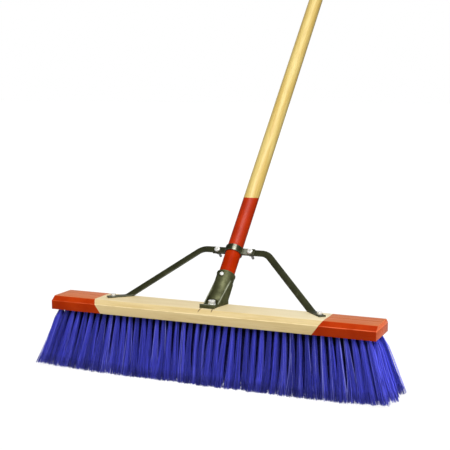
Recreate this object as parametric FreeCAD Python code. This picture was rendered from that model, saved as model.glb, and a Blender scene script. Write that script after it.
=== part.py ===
"""Push broom: a chamfered hardwood block full of bristle tufts, a handle that leans back from it in
a steel socket, and a two-arm steel brace clamped round the handle. Millimetres, +Z up, X along the
block, +Y to the back. The origin is on the floor under the middle of the block.
"""

import FreeCAD
import Part
import math
import os

V = FreeCAD.Vector

# block
BLOCK_LENGTH = 609.6
BLOCK_WIDTH = 76.2
BLOCK_THICK = 23.8
BLOCK_TOP_WIDTH = 54.0
BLOCK_SIDE_HEIGHT = 16.0
BLOCK_EDGE_ROUND = 1.6

# bristle tufts, in five staggered rows
TRIM = 105.0
ROW_SPACING = 14.0
ROW_NAMES = ("front_outer", "front_inner", "middle", "rear_inner", "rear_outer")
TUFT_PITCH = 13.2
TUFTS_PER_SIDE = 22
MIDDLE_SHIFT = 3.3
HOLE_R = 3.5
HOLE_DEPTH = 10.0
MOUTH = 1.6
TIP_R = 5.4
ROW_LEAN = 5.2
END_FLARE = 17.0
FLARE_START = 130.0
FLARE_POWER = 1.4
LAST_TUFT_IN = 15.0
STAPLE = (5.6, 0.5, 2.6)

# handle
HANDLE_LEAN = 43.5
HANDLE_R = 14.3
HANDLE_LENGTH = 1524.0
HANDLE_FOOT_Y = 22.5
HANDLE_START = 19.0
HANDLE_DOME = 9.0
HANDLE_CHAMFER = 1.5

# socket bracket
SHEET = 2.5
SOCKET_R = 16.6
SOCKET_END = 62.0
RIM_R = 17.4
RIM_HEIGHT = 3.4
RIM_ROUND = 0.7
BRACKET_HALF_WIDTH = 14.0
BRACKET_BACK_HALF_WIDTH = 20.5
BASE_FRONT = -21.0
BASE_BACK = 27.0
LIP_HEIGHT = 7.2
CHEEK_FRONT_Y = -3.0
CHEEK_FRONT_RISE = 3.3
CHEEK_TOP = 45.0
CHEEK_TOP_FRONT_HALF_WIDTH = 15.3
CHEEK_TOP_BACK_HALF_WIDTH = 16.8
CHEEK_TOP_HALF_DEPTH = 6.0
TUNNEL_FRONT = 10.3

# brace
STRIP_WIDTH = 12.7
STRIP = 2.5
CLAMP_HEIGHT = 113.3
CLAMP_GAP = 0.4
FOOT_X = 172.7
CORNER_R = 25.0
TAB_BEND_R = 3.0
TAB_RUN = 28.0
EAR_END = 41.0
CLAMP_BOLT_X = 32.3

# fasteners
CLAMP_BOLT_R = 2.4
CLAMP_BOLT_LENGTH = 22.2
CLAMP_HEAD_R = 5.2
CLAMP_HEAD_HEIGHT = 3.2
CLAMP_HEAD_ROUND = 1.6
CLAMP_HEAD_SLOT = 1.2
CLAMP_NUT_ACROSS = 9.5
CLAMP_NUT_HEIGHT = 3.6
BASE_SCREW_Y = 0.0
BASE_SCREW_R = 2.8
BASE_SCREW_LENGTH = 15.9
BASE_SCREW_ACROSS = 11.1
BASE_SCREW_HEAD = 6.6
WASHER_R = 6.8
WASHER = 1.6
TAB_SCREW_R = 2.2
TAB_SCREW_LENGTH = 12.7
TAB_SCREW_ACROSS = 8.0
TAB_SCREW_HEAD = 4.2
TAB_SCREW_FROM_END = 11.0
LOCK_SCREW_R = 2.1
LOCK_SCREW_LENGTH = 14.0
LOCK_SCREW_ACROSS = 6.4
LOCK_SCREW_HEAD = 3.4
LOCK_SCREW_UP = 51.5
CLEARANCE = 0.05
SCREW_CLEARANCE = 0.3
BOLT_CLEARANCE = 0.2
POINT_SHARE = 0.2
POINT_R_SHARE = 0.25
HEX_CROWN = 0.18
HEX_CROWN_SINK = 0.12

BLOCK_TOP = TRIM + BLOCK_THICK
LEAN = math.radians(HANDLE_LEAN)
FOOT = V(0, HANDLE_FOOT_Y, BLOCK_TOP)
ALONG = V(0, math.sin(LEAN), math.cos(LEAN))
FRONT = V(0, -math.cos(LEAN), math.sin(LEAN))
UP = V(0, 0, 1)
ACROSS = V(1, 0, 0)


def on_handle(u, v, w):
    """A point by its place across, up along and in front of the handle's axis."""
    return FOOT + ACROSS * u + ALONG * v + FRONT * w


def prism(points, direction):
    """The solid that a closed outline sweeps along a vector."""
    outline = Part.makePolygon(points + points[:1])
    return Part.Face(outline).extrude(direction)


def cylinder(radius, start, direction, length):
    return Part.makeCylinder(radius, length, start, direction)


def hex_prism(across_flats, start, direction, height, turn=0.0):
    """A hexagonal prism with slightly domed corners on its far end, as on a bolt head."""
    corner = across_flats / math.sqrt(3)
    points = []
    for i in range(6):
        angle = math.radians(60 * i + turn)
        points.append(V(corner * math.cos(angle), corner * math.sin(angle), 0))
    body = prism(points, V(0, 0, height))
    crown = HEX_CROWN * corner
    blank = Part.makeCone(corner + height, corner - crown, height + crown)
    blank.translate(V(0, 0, -HEX_CROWN_SINK * corner))
    return place(body.common(blank), start, direction)


def place(shape, start, direction):
    """Stand a shape made along +Z on a point, along a direction."""
    turned = FreeCAD.Rotation(UP, direction)
    shape.Placement = FreeCAD.Placement(start, turned).multiply(shape.Placement)
    return shape


def fuse(shapes):
    """One clean solid from several that touch or overlap."""
    whole = shapes[0].multiFuse(shapes[1:]).removeSplitter()
    return whole.Solids[0] if len(whole.Solids) == 1 else whole


def tuft_places():
    """Each row's tufts as (root on the block's underside, direction downwards, tip height)."""
    rows = []
    for row in range(-2, 3):
        places = []
        shift = TUFT_PITCH / 2 if row % 2 else MIDDLE_SHIFT * (row == 0)
        count = TUFTS_PER_SIDE + (1 if row % 2 else 0)
        for i in range(-count, TUFTS_PER_SIDE + 1):
            x = TUFT_PITCH * i + shift
            end = BLOCK_LENGTH / 2 - LAST_TUFT_IN
            part = max(0.0, (abs(x) - FLARE_START) / (end - FLARE_START))
            flare = math.radians(END_FLARE) * part**FLARE_POWER * (1 if x > 0 else -1)
            lean = math.radians(ROW_LEAN * row)
            root = V(x, ROW_SPACING * row, TRIM)
            down = V(math.tan(flare), math.tan(lean), -1.0)
            tip = TRIM * (1 - math.cos(flare))
            places.append((root, down.normalize(), tip))
        rows.append(places)
    return rows


def tuft(root, down, tip):
    """One tuft: held straight in its hole, then spreading to its flat trimmed end."""
    reach = TRIM / -down.z + 4.0
    spread = (TIP_R - HOLE_R) * reach / TRIM
    outline = [
        V(0, 0, -HOLE_DEPTH + STAPLE[2]),
        V(HOLE_R, 0, -HOLE_DEPTH + STAPLE[2]),
        V(HOLE_R, 0, MOUTH),
        V(HOLE_R + spread, 0, reach),
        V(0, 0, reach),
    ]
    face = Part.Face(Part.makePolygon(outline + outline[:1]))
    bundle = place(face.revolve(V(0, 0, 0), UP, 360), root, down)
    above = Part.makeBox(80, 80, TRIM + 30, V(root.x + 30 * down.x - 40, root.y + 30 * down.y - 40, tip))
    return bundle.common(above).Solids[0]


def staple(root, down):
    """The flat wire anchor that holds a folded tuft at the bottom of its hole."""
    wire = Part.makeBox(*STAPLE, V(-STAPLE[0] / 2, -STAPLE[1] / 2, -HOLE_DEPTH))
    return place(wire, root, down)


def make_block(rows, fixings):
    """The block: chamfered along both top edges, drilled for tufts and screws."""
    half, top = BLOCK_WIDTH / 2, BLOCK_TOP_WIDTH / 2
    side_top = TRIM + BLOCK_SIDE_HEIGHT
    outline = [(-half, TRIM), (half, TRIM), (half, side_top), (top, BLOCK_TOP)]
    outline += [(-top, BLOCK_TOP), (-half, side_top)]
    points = [V(-BLOCK_LENGTH / 2, y, z) for y, z in outline]
    block = prism(points, V(BLOCK_LENGTH, 0, 0))
    long_edges = [e for e in block.Edges if e.Length > BLOCK_LENGTH - 1 and e.Vertexes[0].Z > TRIM + 1]
    block = block.makeFillet(BLOCK_EDGE_ROUND, long_edges)
    holes = []
    for places in rows:
        for root, down, _ in places:
            holes.append(cylinder(HOLE_R, root - down * HOLE_DEPTH, down, HOLE_DEPTH + 3))
    return block.cut(holes + fixings).Solids[0]


def make_handle(fixings):
    """A round pole with a small chamfer at its foot and a domed top."""
    stem = HANDLE_LENGTH - HANDLE_DOME
    sphere_r = (HANDLE_R**2 + HANDLE_DOME**2) / (2 * HANDLE_DOME)
    half = math.atan2(HANDLE_R, sphere_r - HANDLE_DOME) / 2
    centre = HANDLE_LENGTH - sphere_r
    mid = V(sphere_r * math.sin(half), 0, centre + sphere_r * math.cos(half))
    corners = [V(0, 0, 0), V(HANDLE_R - HANDLE_CHAMFER, 0, 0)]
    corners += [V(HANDLE_R, 0, HANDLE_CHAMFER), V(HANDLE_R, 0, stem)]
    edges = [Part.makeLine(a, b) for a, b in zip(corners, corners[1:])]
    edges.append(Part.Arc(corners[-1], mid, V(0, 0, HANDLE_LENGTH)).toShape())
    edges.append(Part.makeLine(V(0, 0, HANDLE_LENGTH), V(0, 0, 0)))
    pole = Part.Face(Part.Wire(edges)).revolve(V(0, 0, 0), UP, 360)
    return place(pole, on_handle(0, HANDLE_START, 0), ALONG).cut(fixings).Solids[0]


def cheek(side):
    """One side wall, flaring outwards from the tube to the back of the base plate."""
    low = [
        V(side * BRACKET_HALF_WIDTH, CHEEK_FRONT_Y, BLOCK_TOP),
        V(side * BRACKET_BACK_HALF_WIDTH, BASE_BACK, BLOCK_TOP),
        V(side * (BRACKET_BACK_HALF_WIDTH - SHEET), BASE_BACK, BLOCK_TOP),
        V(side * (BRACKET_HALF_WIDTH - SHEET), CHEEK_FRONT_Y, BLOCK_TOP),
    ]
    middle = [p + UP * (SHEET + CHEEK_FRONT_RISE) for p in low]
    front, back = CHEEK_TOP_FRONT_HALF_WIDTH, CHEEK_TOP_BACK_HALF_WIDTH
    depth = CHEEK_TOP_HALF_DEPTH
    high = [
        on_handle(side * front, CHEEK_TOP, depth),
        on_handle(side * back, CHEEK_TOP, -depth),
        on_handle(side * (back - SHEET), CHEEK_TOP, -depth),
        on_handle(side * (front - SHEET), CHEEK_TOP, depth),
    ]
    rings = [Part.makePolygon(ring + ring[:1]) for ring in (low, middle, high)]
    foot = Part.makeLoft(rings[:2], True, True)
    wall = Part.makeLoft(rings[1:], True, True)
    return [foot, wall]


def tunnel():
    """The tube's front wall carried on down to the base, ending in an upright face behind the screw."""
    floor = HANDLE_START - SHEET
    skin = cylinder(SOCKET_R, on_handle(0, -30, 0), ALONG, 30 + HANDLE_START)
    skin = skin.common(Part.makeBox(60, BASE_BACK - TUNNEL_FRONT, 60, V(-30, TUNNEL_FRONT, BLOCK_TOP)))
    core = cylinder(SOCKET_R - SHEET, on_handle(0, -30, 0), ALONG, 30 + floor)
    core = core.common(Part.makeBox(60, 40, 60, V(-30, TUNNEL_FRONT + SHEET, BLOCK_TOP)))
    return skin.cut(core).Solids[0]


def make_bracket(fixings):
    """The pressed steel socket: base plate with a front lip, flared cheeks, tunnel, tube and rim."""
    side, wide = BRACKET_HALF_WIDTH, BRACKET_BACK_HALF_WIDTH
    base_outline = [
        V(-side, BASE_FRONT, BLOCK_TOP),
        V(side, BASE_FRONT, BLOCK_TOP),
        V(side, CHEEK_FRONT_Y, BLOCK_TOP),
        V(wide, BASE_BACK, BLOCK_TOP),
        V(-wide, BASE_BACK, BLOCK_TOP),
        V(-side, CHEEK_FRONT_Y, BLOCK_TOP),
    ]
    base = prism(base_outline, UP * SHEET)
    lip = Part.makeBox(2 * side, SHEET, LIP_HEIGHT, V(-side, BASE_FRONT, BLOCK_TOP))
    heel_low = HANDLE_START - SHEET
    tube = cylinder(SOCKET_R, on_handle(0, heel_low, 0), ALONG, SOCKET_END - heel_low)
    rim = cylinder(RIM_R, on_handle(0, SOCKET_END - RIM_HEIGHT, 0), ALONG, RIM_HEIGHT)
    rim = rim.makeFillet(RIM_ROUND, [e for e in rim.Edges if e.Length > 2 * RIM_R])
    steel = fuse([base, lip, tube, rim, tunnel()] + cheek(-1) + cheek(1))
    bore = cylinder(HANDLE_R + CLEARANCE, on_handle(0, HANDLE_START, 0), ALONG, 80)
    return steel.cut([bore] + fixings).Solids[0]


def bent_sheet(back_face):
    """The tab's bend, as (axis point in the YZ plane, how far up the handle it lies)."""
    w = back_face + STRIP + TAB_BEND_R
    rise = STRIP + TAB_BEND_R
    y = HANDLE_FOOT_Y - (w - rise * math.sin(LEAN)) / math.cos(LEAN)
    centre = V(0, y, BLOCK_TOP + rise)
    return centre, (centre - FOOT).dot(ALONG)


def make_arm(side, back_face, wraps_front):
    """One brace arm: screw tab, sloping leg, rounded corner, clamp run, half hoop and far ear.

    side is -1 for the left arm and 1 for the right. back_face is its rear face's place in front
    of the handle's axis.
    """
    centre, bend_up = bent_sheet(back_face)
    half = STRIP_WIDTH / 2
    slant = half * math.sqrt(2)
    through = FRONT * STRIP

    def at(u, v):
        return on_handle(side * u, v, back_face)

    # leg and clamp run meet in a rounded corner of the flat strip
    reach = FOOT_X + bend_up
    corner_u = reach - CLAMP_HEIGHT
    setback = CORNER_R * math.tan(math.radians(22.5))
    run_end = corner_u - setback
    leg_top = CLAMP_HEIGHT - setback * math.sin(math.radians(45))
    top_u = reach - leg_top
    nx = half * math.sin(math.radians(45))
    leg = prism(
        [
            at(FOOT_X - slant, bend_up),
            at(FOOT_X + slant, bend_up),
            at(top_u + nx, leg_top + nx),
            at(top_u - nx, leg_top - nx),
        ],
        through,
    )
    pivot = at(run_end, CLAMP_HEIGHT - CORNER_R)
    ring = cylinder(CORNER_R + half, pivot, FRONT, STRIP).cut(
        cylinder(CORNER_R - half, pivot, FRONT, STRIP)
    )
    far = 3 * CORNER_R
    slice_points = [
        pivot,
        pivot + ALONG * far,
        pivot + ALONG * far + ACROSS * (side * far),
    ]
    corner = ring.common(prism([p - FRONT for p in slice_points], FRONT * (STRIP + 2)))

    # the clamp run carries on as a half hoop round the handle and a short ear beyond it
    low, high = CLAMP_HEIGHT - half, CLAMP_HEIGHT + half
    flat = prism([at(-EAR_END, low), at(run_end, low), at(run_end, high), at(-EAR_END, high)], through)
    way = 1 if wraps_front else -1
    inner = HANDLE_R + CLEARANCE
    hoop = cylinder(inner + STRIP, on_handle(0, low, 0), ALONG, STRIP_WIDTH)
    keep = Part.makeBox(80, 40, STRIP_WIDTH, V(-40, 0, 0))
    if wraps_front:
        keep.rotate(V(0, 0, 0), UP, 180)
    keep = place(keep, on_handle(0, low, way * CLAMP_GAP / 2), ALONG)
    hoop = hoop.common(keep)
    hole = cylinder(inner, on_handle(0, low - 5, 0), ALONG, STRIP_WIDTH + 10)

    # the foot turns to lie flat on the block and runs on, still at 45 degrees
    outer_r = TAB_BEND_R + STRIP
    bend_ring = cylinder(outer_r, V(-300, centre.y, centre.z), ACROSS, 600)
    bend_ring = bend_ring.cut(cylinder(TAB_BEND_R, V(-300, centre.y, centre.z), ACROSS, 600))
    wedge = [
        centre,
        centre - UP * 20,
        centre - UP * 20 - FRONT * 20,
        centre - FRONT * 20,
    ]
    bend = bend_ring.common(prism([p + V(-300, 0, 0) for p in wedge], V(600, 0, 0)))
    arc = (TAB_BEND_R + STRIP / 2) * math.radians(90 - HANDLE_LEAN)
    bend_x = FOOT_X + arc
    cut = half * math.cos(math.radians(45))

    def on_tab(run, offset, z):
        x = bend_x + run + offset
        return V(side * x, centre.y - run + offset, z)

    low_z = BLOCK_TOP
    band = prism(
        [
            on_tab(-8, -cut, low_z - 1),
            on_tab(-8, cut, low_z - 1),
            on_tab(12, cut, low_z - 1),
            on_tab(12, -cut, low_z - 1),
        ],
        UP * 20,
    )
    bend = bend.common(band)
    tab = prism(
        [
            V(side * (bend_x - slant), centre.y, low_z),
            V(side * (bend_x + slant), centre.y, low_z),
            on_tab(TAB_RUN, cut, low_z),
            on_tab(TAB_RUN, -cut, low_z),
        ],
        UP * STRIP,
    )
    steel = fuse([leg, corner, flat, hoop, bend, tab]).cut(hole)
    back = TAB_SCREW_FROM_END * math.cos(math.radians(45))
    return steel, on_tab(TAB_RUN - back, 0, low_z + STRIP)


def hex_screw(radius, length, across, head, start, direction, turn=0.0):
    """A hex-head wood screw: shank and point into the wood from start, head standing out."""
    straight = length * (1 - POINT_SHARE)
    shank = Part.makeCylinder(radius, straight, V(0, 0, -straight))
    point = Part.makeCone(POINT_R_SHARE * radius, radius, length * POINT_SHARE, V(0, 0, -length))
    stem = place(fuse([shank, point]), start, direction)
    return fuse([stem, hex_prism(across, start, direction, head, turn)])


def clamp_bolt(x):
    """A pan-head bolt through both clamp ears, from the front."""
    face = CLAMP_GAP / 2 + STRIP
    start = on_handle(x, CLAMP_HEIGHT, face)
    shank = cylinder(CLAMP_BOLT_R, start, FRONT * -1, CLAMP_BOLT_LENGTH)
    head = cylinder(CLAMP_HEAD_R, start, FRONT, CLAMP_HEAD_HEIGHT)
    rim = max(head.Edges, key=lambda e: (e.CenterOfMass - start).dot(FRONT))
    head = head.makeFillet(CLAMP_HEAD_ROUND, [rim])
    slot_start = V(-CLAMP_HEAD_R - 1, -CLAMP_HEAD_SLOT / 2, CLAMP_HEAD_HEIGHT - CLAMP_HEAD_SLOT)
    slot = Part.makeBox(2 * CLAMP_HEAD_R + 2, CLAMP_HEAD_SLOT, CLAMP_HEAD_SLOT, slot_start)
    head = head.cut(place(slot, start, FRONT))
    return fuse([shank, head])


def clamp_nut(x):
    """The hex nut behind the rear ear."""
    start = on_handle(x, CLAMP_HEIGHT, -CLAMP_GAP / 2 - STRIP)
    nut = hex_prism(CLAMP_NUT_ACROSS, start, FRONT * -1, CLAMP_NUT_HEIGHT)
    return nut.cut(cylinder(CLAMP_BOLT_R, start + FRONT, FRONT * -1, 12)).Solids[0]


def main():
    rows = tuft_places()
    base_face = BLOCK_TOP + SHEET + WASHER
    base_start = V(0, BASE_SCREW_Y, base_face)
    base_screw = hex_screw(
        BASE_SCREW_R, BASE_SCREW_LENGTH, BASE_SCREW_ACROSS, BASE_SCREW_HEAD, base_start, UP, 20
    )
    washer_low = V(0, BASE_SCREW_Y, BLOCK_TOP + SHEET)
    washer = cylinder(WASHER_R, washer_low, UP, WASHER)
    washer = washer.cut(cylinder(BASE_SCREW_R + SCREW_CLEARANCE, washer_low, UP, WASHER))

    lock_start = on_handle(0, LOCK_SCREW_UP, SOCKET_R)
    lock_screw = hex_screw(
        LOCK_SCREW_R, LOCK_SCREW_LENGTH, LOCK_SCREW_ACROSS, LOCK_SCREW_HEAD, lock_start, FRONT, 10
    )

    front_face = CLAMP_GAP / 2
    rear_face = -CLAMP_GAP / 2 - STRIP
    arms, tab_screws = {}, {}
    for name, side, face, front in (("left", -1, front_face, True), ("right", 1, rear_face, False)):
        steel, screw_at = make_arm(side, face, front)
        holes = []
        for x in (-CLAMP_BOLT_X, CLAMP_BOLT_X):
            hole_start = on_handle(x, CLAMP_HEIGHT, -10)
            holes.append(cylinder(CLAMP_BOLT_R + BOLT_CLEARANCE, hole_start, FRONT, 20))
        holes.append(cylinder(TAB_SCREW_R + SCREW_CLEARANCE, screw_at - UP * 5, UP, 10))
        arms[name] = steel.cut(holes).Solids[0]
        tab_screws[name] = hex_screw(
            TAB_SCREW_R, TAB_SCREW_LENGTH, TAB_SCREW_ACROSS, TAB_SCREW_HEAD, screw_at, UP, 25
        )

    screw_clear = cylinder(BASE_SCREW_R + SCREW_CLEARANCE, V(0, BASE_SCREW_Y, BLOCK_TOP - 1), UP, SHEET + 2)
    lock_clear = cylinder(LOCK_SCREW_R + SCREW_CLEARANCE, on_handle(0, LOCK_SCREW_UP, 10), FRONT, 10)
    parts = {
        "block": make_block(rows, [base_screw, tab_screws["left"], tab_screws["right"]]),
        "tuft_staples": Part.makeCompound([staple(r, d) for row in rows for r, d, _ in row]),
        "handle": make_handle([lock_screw]),
        "handle_bracket": make_bracket([screw_clear, lock_clear]),
        "handle_lock_screw": lock_screw,
        "bracket_screw": base_screw,
        "bracket_washer": washer,
        "brace_arm_left": arms["left"],
        "brace_arm_right": arms["right"],
        "brace_screw_left": tab_screws["left"],
        "brace_screw_right": tab_screws["right"],
        "clamp_bolt_left": clamp_bolt(-CLAMP_BOLT_X),
        "clamp_bolt_right": clamp_bolt(CLAMP_BOLT_X),
        "clamp_nut_left": clamp_nut(-CLAMP_BOLT_X),
        "clamp_nut_right": clamp_nut(CLAMP_BOLT_X),
    }
    for name, places in zip(ROW_NAMES, rows):
        parts["tuft_row_" + name] = Part.makeCompound([tuft(*p) for p in places])

    os.makedirs("parts", exist_ok=True)
    for name, shape in parts.items():
        shape.exportStep("parts/" + name + ".step")


main()
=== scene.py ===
"""Looks for the push broom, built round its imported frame. Metres, +Z up, X along the block, +Y back."""

import math

import bmesh
import bpy
import numpy as np
from mathutils import Matrix, Vector


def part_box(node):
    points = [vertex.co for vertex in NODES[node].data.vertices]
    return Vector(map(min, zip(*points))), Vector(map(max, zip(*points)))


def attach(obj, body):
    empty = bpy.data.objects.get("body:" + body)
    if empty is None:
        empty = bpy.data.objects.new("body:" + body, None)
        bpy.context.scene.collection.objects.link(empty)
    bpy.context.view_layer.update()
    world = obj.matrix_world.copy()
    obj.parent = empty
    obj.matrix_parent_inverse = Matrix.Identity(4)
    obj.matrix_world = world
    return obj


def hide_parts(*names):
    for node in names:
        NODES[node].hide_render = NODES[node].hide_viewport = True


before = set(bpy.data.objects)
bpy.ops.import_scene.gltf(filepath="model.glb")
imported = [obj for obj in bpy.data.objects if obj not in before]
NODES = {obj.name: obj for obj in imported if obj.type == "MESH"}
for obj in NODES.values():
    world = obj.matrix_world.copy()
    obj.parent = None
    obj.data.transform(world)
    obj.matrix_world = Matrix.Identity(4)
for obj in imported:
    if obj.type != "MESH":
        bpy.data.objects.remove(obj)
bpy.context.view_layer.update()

MM = 0.001

# ---------------------------------------------------------------- the frame's own sizes, in millimetres

# block: drilled from below, with a shoulder sloping up to the narrower top on both sides
BLOCK_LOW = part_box("block")[0] / MM
BLOCK_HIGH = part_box("block")[1] / MM
TRIM = 105.0
BLOCK_TOP = BLOCK_HIGH.z
BLOCK_TOP_WIDTH = 54.0
BLOCK_SIDE_HEIGHT = 16.0
SIDE_TOP = TRIM + BLOCK_SIDE_HEIGHT

# tufts: five rows that lean outwards, with ends that fan out, angles in degrees
ROW_NAMES = ("front_outer", "front_inner", "middle", "rear_inner", "rear_outer")
ROW_SPACING = 14.0
ROW_LEAN = 5.2
TUFT_PITCH = 13.2
TUFTS_PER_SIDE = 22
MIDDLE_SHIFT = 3.3
HOLE_R = 3.5
HOLE_DEPTH = 10.0
LAST_TUFT = BLOCK_HIGH.x - 15.0
END_FLARE = 17.0
FLARE_START = 130.0
FLARE_POWER = 1.4

# pole: its axis leans back from FOOT, and FRONT is square to it
LEAN = math.radians(43.5)
FOOT = Vector((0.0, 22.5, BLOCK_TOP))
ALONG = Vector((0.0, math.sin(LEAN), math.cos(LEAN)))
FRONT = Vector((0.0, -math.cos(LEAN), math.sin(LEAN)))
UP = Vector((0.0, 0.0, 1.0))
ACROSS = Vector((1.0, 0.0, 0.0))
HANDLE_R = 14.3
HANDLE_START = 19.0
HANDLE_LENGTH = 1524.0
HANDLE_DOME = 9.0
HANDLE_CHAMFER = 1.5

# brace: flat bar, with a screw tab on the block, a slanted leg and a clamp round the pole
STRIP_WIDTH = 12.7
STRIP = 2.5
CLAMP_HEIGHT = 113.3
CLAMP_GAP = 0.4
FOOT_X = 172.7
CORNER_R = 25.0
LEG_ANGLE = math.radians(45.0)
TAB_BEND_R = 3.0
TAB_RUN = 28.0
HOOP_GAP = 0.05
EAR_END = 41.0

# socket: the ridges where its finish is rubbed pale, partly as painted highlight
LIP_HEIGHT = 7.2
LIP_RIDGE_Y = -20.0
LIP_RIDGE_HALF = 14.0
CHEEK_FRONT_Y = -3.0
CHEEK_FRONT_RISE = 5.8
CHEEK_FOOT_HALF = 13.4
CHEEK_TOP = 45.0
CHEEK_TOP_HALF = 14.8
CHEEK_TOP_FRONT = 6.0

# ---------------------------------------------------------------- finish and shape details

# paint: the dip's edge on the pole above its foot, and on the block from its middle, with their slopes
PAINT_ON_POLE = 218.5
PAINT_TILT = 0.75
PAINT_ON_BLOCK = 216.0
PAINT_OFFSET = 3.5
PAINT_SLOPE = 0.72

# two short dark strokes on the block's top, each from one point (x, y) to another
DARK_STROKES = (((-8.6, -21.2), (-12.0, -35.0)), ((12.1, -21.2), (12.9, -33.0)))
DARK_STROKE_HALF_WIDTHS = (0.5, 1.4)

# block's mesh
BLOCK_STATIONS = 25
BLOCK_EDGE = 0.7
DRILL_SIDES = 20
DRILL_OVERRUN = 4.0

# pole's mesh, with the eased edge at its foot, how far its turned surface strays and how that turns along it
POLE_SIDES = 72
POLE_RINGS = 120
DOME_RINGS = 12
FOOT_EASE_IN = 0.2
FOOT_EASE_UP = 0.7
UNEVEN = 0.06
UNEVEN_TURN = 0.013
UNEVEN_FROM = 300.0

# brace's mesh: its bar's half sizes, the bends' turns and steps, and the radii of the bar's middle line
HALF_WIDE = STRIP_WIDTH / 2
HALF_THICK = STRIP / 2
TAB_TURN = math.pi / 2 - LEAN
TAB_BEND_MIDDLE = TAB_BEND_R + HALF_THICK
TAB_STEPS = 10
CORNER_STEPS = 12
CLAMP_LEVEL = CLAMP_GAP / 2 + HALF_THICK
HOOP_R = HANDLE_R + HOOP_GAP + HALF_THICK
HOOP_FILLET = 2.75
HOOP_FILLET_U = math.sqrt((HOOP_R + HOOP_FILLET) ** 2 - (CLAMP_LEVEL + HOOP_FILLET) ** 2)
FILLET_STEPS = 6
HOOP_STEPS = 33

# brace's bar: rolled edges, cut ends eased over in steps (how far in, how full), the share of that which
# its thickness loses, how worn and pale its edges are, partly as painted highlight, and the painted
# highlight on the hoop's brow and the ear beside it, with the brow's angles
BAR_EDGE_R = 0.85
BAR_EDGE_STEPS = 4
BAR_END_ROUND = 4.5
BAR_END_STEPS = ((0.0, 0.86), (0.25, 0.95), (0.6, 1.0))
BAR_END_THINNING = 0.55
EDGE_WEAR_AND_HIGHLIGHT = 0.35
HOOP_HIGHLIGHT = 0.75
HOOP_BROW = (97, 122)

# socket's mesh, in metres, and how wide the rubbed, pale ridges are, partly as painted highlight, in
# millimetres
WELD = 0.00001
VOXEL = 0.0005
RIDGE_WEAR_AND_HIGHLIGHT = 1.3

# bristles: filaments in each tuft, the joints along each one below its top, and the bunches they fall into
FIRST_SEED = 41
FILAMENTS = 104
FILAMENT_R = 0.36
FILAMENT_SIDES = 3
JOINTS = 6
BUNCHES = 9
GOLDEN_TURN = 2.39996

# how a tuft leans, in degrees: by itself, with its neighbours, and less within a distance from the ends
TUFT_LEAN = 0.6
TUFT_LEAN_Y = 0.7
GROUP_LEAN = 1.15
CALM_ENDS = 120.0

# how many times wider than its hole a tuft gets, and how fast it bursts open below the hole
SPREAD = (2.05, 2.4)
BURST_RATE = 14.0

# the gaps that filaments keep to the hole's wall and end, and their uneven cut
HOLE_WALL_GAP = 0.35
HOLE_END_GAP = 2.8
CUT_GAP = 0.05
CUT_SPREAD = 0.6

# how far filaments go their own way, along and across the row, and the share that strays and how far
BUNCH_DRIFT = (0.7, 0.5)
FILAMENT_BOW = (1.0, 1.2)
TUFT_BOW = (1.8, 0.5)
STRAY_SHARE = 0.22
STRAY_REACH = 2.8

# tones from dark to pale: a tuft's, how a bunch's and a filament's differ from it, and the filaments with a
# painted highlight
TUFT_TONE = (0.15, 0.7)
BUNCH_TONE = 0.33
FILAMENT_TONE = 0.22
PALEST_TONE = 0.95
HIGHLIGHT_TONE = 1.0
HIGHLIGHT_SHARE = 0.016
HIGHLIGHT_IN_FAN = 0.17

# how much painted shade a tuft gets inside the brush, by its row's distance from the middle one, and how far
# from the ends
ROW_DEPTH = (0.995, 0.985, 0.0)
LIT_END = BLOCK_HIGH.x - 12.0
LIT_OVER = 45.0

# ---------------------------------------------------------------- light and camera

# the floor and the sky, as the camera sees them and as light sources
FLOOR_HALF = 30.0
FLOOR_SEEN = 0.93
FLOOR_LIGHT = 0.72
FLOOR_ASIDE = 0.1
SKY_LIGHT = 0.76
ENDS_LIGHT = 0.06
BACK_LIGHT = 0.5
ZENITH_LIGHT = 1.4

# level directions in the studio: to one side, where it is dimmer, and ahead
STUDIO_TURN = math.radians(34.0)
ASIDE = (math.cos(STUDIO_TURN), math.sin(STUDIO_TURN), 0.0)
AHEAD = (math.sin(STUDIO_TURN), -math.cos(STUDIO_TURN), 0.0)
ASIDE_DIP = -0.34

# softboxes: (degrees from straight in front towards +X, degrees up, strength, degrees wide)
KEY_LIGHT = (30.0, 56.0, 2.9, 40.0)
REAR_LIGHT = (206.0, 8.0, 1.2, 50.0)

# a spot on the brush's right-hand end, in watts, metres and degrees
END_LAMP = 12.0
END_LAMP_PLACE = Vector((0.76, -0.13, 0.08))
END_LAMP_TARGET = Vector((0.335, 0.0, 0.065))
END_LAMP_CONE = 20.0

# camera, in metres, millimetres and degrees
CAMERA_PLACE = (0.698177, -1.566102, 0.506435)
CAMERA_TILT = 82.22
CAMERA_TURN = 23.25
LENS = 80.0
SENSOR = 36.0


def on_handle(u, v, w):
    """A point by its place across, up along and in front of the handle's axis, in millimetres."""
    return FOOT + ACROSS * u + ALONG * v + FRONT * w


# ---------------------------------------------------------------- material kit

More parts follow.
